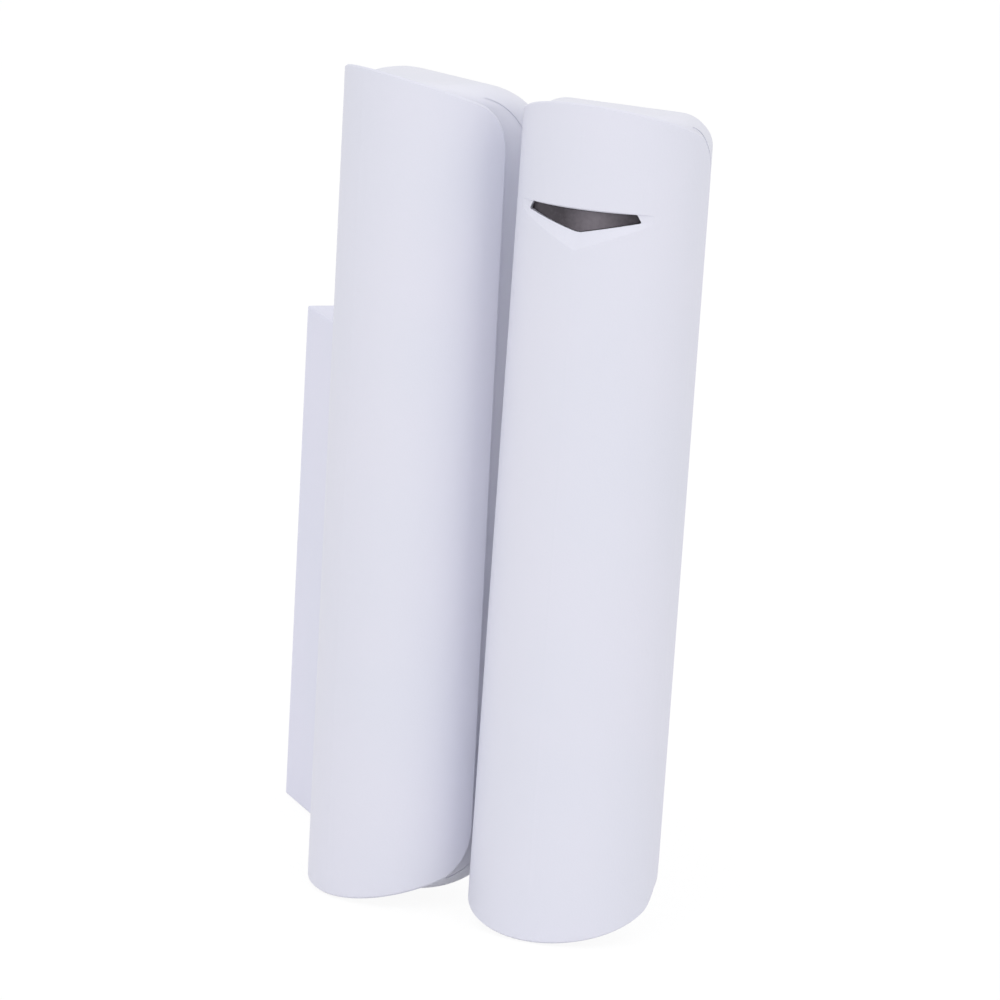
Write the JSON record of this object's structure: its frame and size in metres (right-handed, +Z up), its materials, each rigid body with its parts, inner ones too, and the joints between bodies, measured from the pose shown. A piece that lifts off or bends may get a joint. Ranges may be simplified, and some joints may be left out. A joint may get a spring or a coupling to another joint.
{
  "type": "door window sensor",
  "caption": "Wireless door and window opening detector with a slim half-round housing and chevron indicator, a matching bar magnet housing and a small slab magnet.",
  "frame": {"origin": "centre of the wall face of the detector's bracket, at mid height", "axes": "+Z up along the detector's length, +Y into the wall, the indicator faces -Y"},
  "size_m": [0.0591, 0.048, 0.0899],
  "materials": {
    "housing": "fine moulded texture, faint lavender white",
    "smoked_lens": "smoked, satin gloss",
    "clear_guide": "clear, polished",
    "board": "green solder mask",
    "led": "clear lens",
    "reed_glass": "clear green glass",
    "bright_metal": "tinned",
    "spring_metal": "nickel plated",
    "chip": "black moulding",
    "terminal": "green moulding",
    "cell_sleeve": "shrunk film, plain",
    "button": "satin",
    "switch": "black moulding",
    "magnet": "nickel plated",
    "adhesive": "foam tape"
  },
  "bodies": {
    "mounting": {"detector_bracket": "housing", "magnet_bracket": "housing", "small_magnet_case": "housing", "small_magnet_cover": "housing", "small_bar_magnet": "magnet", "small_magnet_pad": "adhesive"},
    "detector": {"detector_shell": "housing", "detector_base": "housing", "indicator_window": "smoked_lens", "light_guide": "clear_guide", "circuit_board": "board", "status_led": "led", "reed_switch_left": "reed_glass", "reed_switch_right": "reed_glass", "reed_leads": "bright_metal", "radio_shield": "bright_metal", "controller_chip": "chip", "antenna": "spring_metal", "terminal_block": "terminal", "terminal_screws": "bright_metal", "lithium_cell": "cell_sleeve", "positive_contact": "spring_metal", "negative_contact": "spring_metal", "tamper_switch": "switch", "power_switch": "switch"},
    "large_magnet": {"magnet_shell": "housing", "magnet_base": "housing", "magnet_holder": "button", "bar_magnet": "magnet"},
    "tamper": {"tamper_button": "button"},
    "power": {"power_button": "button"}
  },
  "joints": [
    {"name": "detector_slide", "type": "slide", "parent": "mounting", "child": "detector", "axis": [0, 0, 1], "range_m": [0, 0.004]},
    {"name": "magnet_slide", "type": "slide", "parent": "mounting", "child": "large_magnet", "axis": [-0.0216, 0, 0.9998], "range_m": [0, 0.004]},
    {"name": "tamper_press", "type": "slide", "parent": "detector", "child": "tamper", "axis": [0, -1, 0], "range_m": [0, 0.0005], "stiffness_N_per_m": 300},
    {"name": "power_press", "type": "slide", "parent": "detector", "child": "power", "axis": [0, -1, 0], "range_m": [0, 0.0004], "stiffness_N_per_m": 600}
  ]
}
